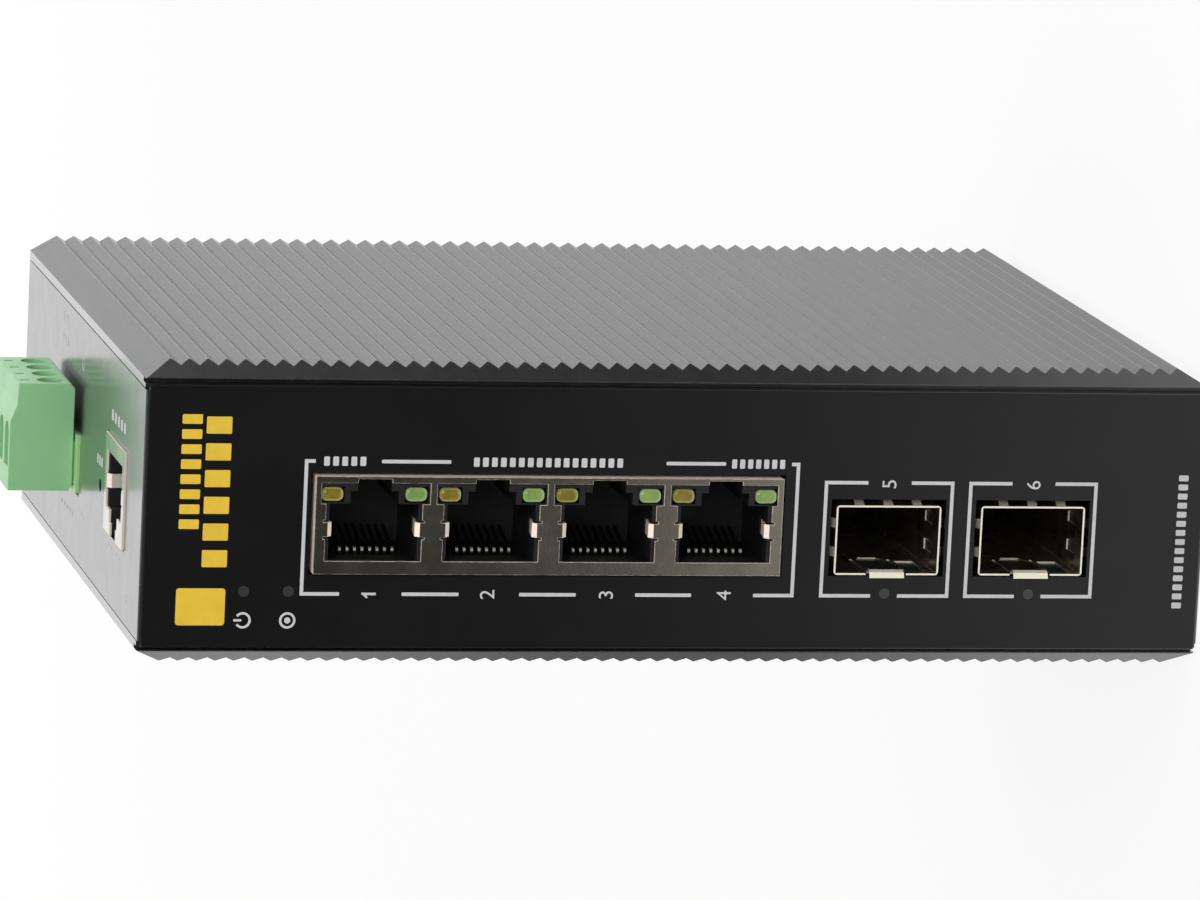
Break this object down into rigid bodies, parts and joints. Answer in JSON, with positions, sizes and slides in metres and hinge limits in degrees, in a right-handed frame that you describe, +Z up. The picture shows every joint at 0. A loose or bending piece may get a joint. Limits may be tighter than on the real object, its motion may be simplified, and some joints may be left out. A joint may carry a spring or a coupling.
{
  "type": "din rail ethernet switch",
  "caption": "Slim ribbed metal network switch that clips on a DIN rail, with modular sockets and transceiver cages in front and a pluggable terminal block on its upper end.",
  "frame": {"origin": "middle of the DIN rail's width on the clip face that the rail's flanges bear on", "axes": "+Y from the case through the clip to the cabinet's back, -Y the front with the sockets; +Z up when mounted, towards the end with the terminal plug; +X across the case"},
  "size_m": [0.0406, 0.1155, 0.1552],
  "materials": {
    "black_cover": "satin black coating",
    "black_sheet": "satin black powder coat",
    "film": "fine matte printed film",
    "screw_steel": "blackened steel",
    "board_green": "solder mask over glass fibre laminate",
    "brass_plated": "nickel-plated brass",
    "chip_black": "moulded epoxy",
    "pad_grey": "soft thermal pad",
    "can_aluminium": "sleeved aluminium can",
    "ferrite": "ferrite and moulding compound",
    "shield_steel": "tin-plated spring steel",
    "cage_steel": "bright plated spring steel",
    "connector_black": "glass-filled polyester",
    "contact_gold": "gold-plated spring bronze",
    "lamp_yellow": "tinted diffusing plastic",
    "lamp_green": "tinted diffusing plastic",
    "light_pipe": "frosted clear polycarbonate",
    "lamp_white": "ceramic and phosphor",
    "terminal_green": "satin moulded polyamide",
    "terminal_steel": "zinc-plated steel",
    "plastic_black": "moulded polyamide",
    "spring_steel": "spring wire"
  },
  "bodies": {
    "switch": {"side_cover_right": "black_cover", "side_cover_left": "black_cover", "chassis": "black_sheet", "front_film": "film", "rear_plate": "black_sheet", "front_cover_screws": "screw_steel", "rear_cover_screws": "screw_steel", "main_board": "board_green", "board_standoffs": "brass_plated", "board_screws": "terminal_steel", "switch_chip": "chip_black", "thermal_pad": "pad_grey", "support_chips": "chip_black", "capacitors": "can_aluminium", "power_inductors": "ferrite", "power_transformer": "ferrite", "port_block_shield": "shield_steel", "port_block_housing": "connector_black", "port_block_contacts": "contact_gold", "port_lamps_yellow": "lamp_yellow", "port_lamps_green": "lamp_green", "console_shield": "shield_steel", "console_housing": "connector_black", "console_contacts": "contact_gold", "sfp_cage_lower": "cage_steel", "sfp_cage_upper": "cage_steel", "sfp_connectors": "connector_black", "sfp_contacts": "contact_gold", "reset_switch": "connector_black", "status_light_pipes": "light_pipe", "status_lamps": "lamp_white", "terminal_header": "terminal_green", "header_pins": "brass_plated", "din_clip_base": "plastic_black", "din_latch_spring": "spring_steel", "din_clip_screws": "terminal_steel", "clip_nuts": "terminal_steel"},
    "plug": {"terminal_plug": "terminal_green", "plug_contacts": "brass_plated"},
    "reset": {"reset_button": "plastic_black"},
    "latch": {"din_latch": "plastic_black"},
    "screw_1": {"terminal_screw_1": "terminal_steel"},
    "clamp_1": {"terminal_clamp_1": "brass_plated"},
    "screw_2": {"terminal_screw_2": "terminal_steel"},
    "clamp_2": {"terminal_clamp_2": "brass_plated"},
    "screw_3": {"terminal_screw_3": "terminal_steel"},
    "clamp_3": {"terminal_clamp_3": "brass_plated"},
    "screw_4": {"terminal_screw_4": "terminal_steel"},
    "clamp_4": {"terminal_clamp_4": "brass_plated"}
  },
  "joints": [
    {"name": "plug_pulls_out", "type": "slide", "parent": "switch", "child": "plug", "axis": [0, 0, 1], "range_m": [0, 0.012]},
    {"name": "reset_press", "type": "slide", "parent": "switch", "child": "reset", "axis": [0, 0, -1], "range_m": [0, 0.00025], "stiffness_N_per_m": 4000},
    {"name": "latch_pull", "type": "slide", "parent": "switch", "child": "latch", "axis": [0, 0, -1], "range_m": [0, 0.0045], "stiffness_N_per_m": 1200, "springref_m": -0.003, "deforming": ["din_latch_spring"]},
    {"name": "screw_1_turn", "type": "hinge", "parent": "plug", "child": "screw_1", "pos_m": [0.007, -0.05242, 0.07655], "axis": [1, 0, 0], "range_deg": [-1290, 10]},
    {"name": "clamp_1_lift", "type": "slide", "parent": "plug", "child": "clamp_1", "axis": [1, 0, 0], "range_m": [0, 0.0016]},
    {"name": "screw_2_turn", "type": "hinge", "parent": "plug", "child": "screw_2", "pos_m": [0.007, -0.04734, 0.07655], "axis": [1, 0, 0], "range_deg": [-1290, 10]},
    {"name": "clamp_2_lift", "type": "slide", "parent": "plug", "child": "clamp_2", "axis": [1, 0, 0], "range_m": [0, 0.0016]},
    {"name": "screw_3_turn", "type": "hinge", "parent": "plug", "child": "screw_3", "pos_m": [0.007, -0.04226, 0.07655], "axis": [1, 0, 0], "range_deg": [-1290, 10]},
    {"name": "clamp_3_lift", "type": "slide", "parent": "plug", "child": "clamp_3", "axis": [1, 0, 0], "range_m": [0, 0.0016]},
    {"name": "screw_4_turn", "type": "hinge", "parent": "plug", "child": "screw_4", "pos_m": [0.007, -0.03718, 0.07655], "axis": [1, 0, 0], "range_deg": [-1290, 10]},
    {"name": "clamp_4_lift", "type": "slide", "parent": "plug", "child": "clamp_4", "axis": [1, 0, 0], "range_m": [0, 0.0016]}
  ],
  "couplings": [
    {"joint": "screw_1_turn", "follows": "clamp_1_lift", "rad_per_m": -13963},
    {"joint": "screw_2_turn", "follows": "clamp_2_lift", "rad_per_m": -13963},
    {"joint": "screw_3_turn", "follows": "clamp_3_lift", "rad_per_m": -13963},
    {"joint": "screw_4_turn", "follows": "clamp_4_lift", "rad_per_m": -13963}
  ]
}
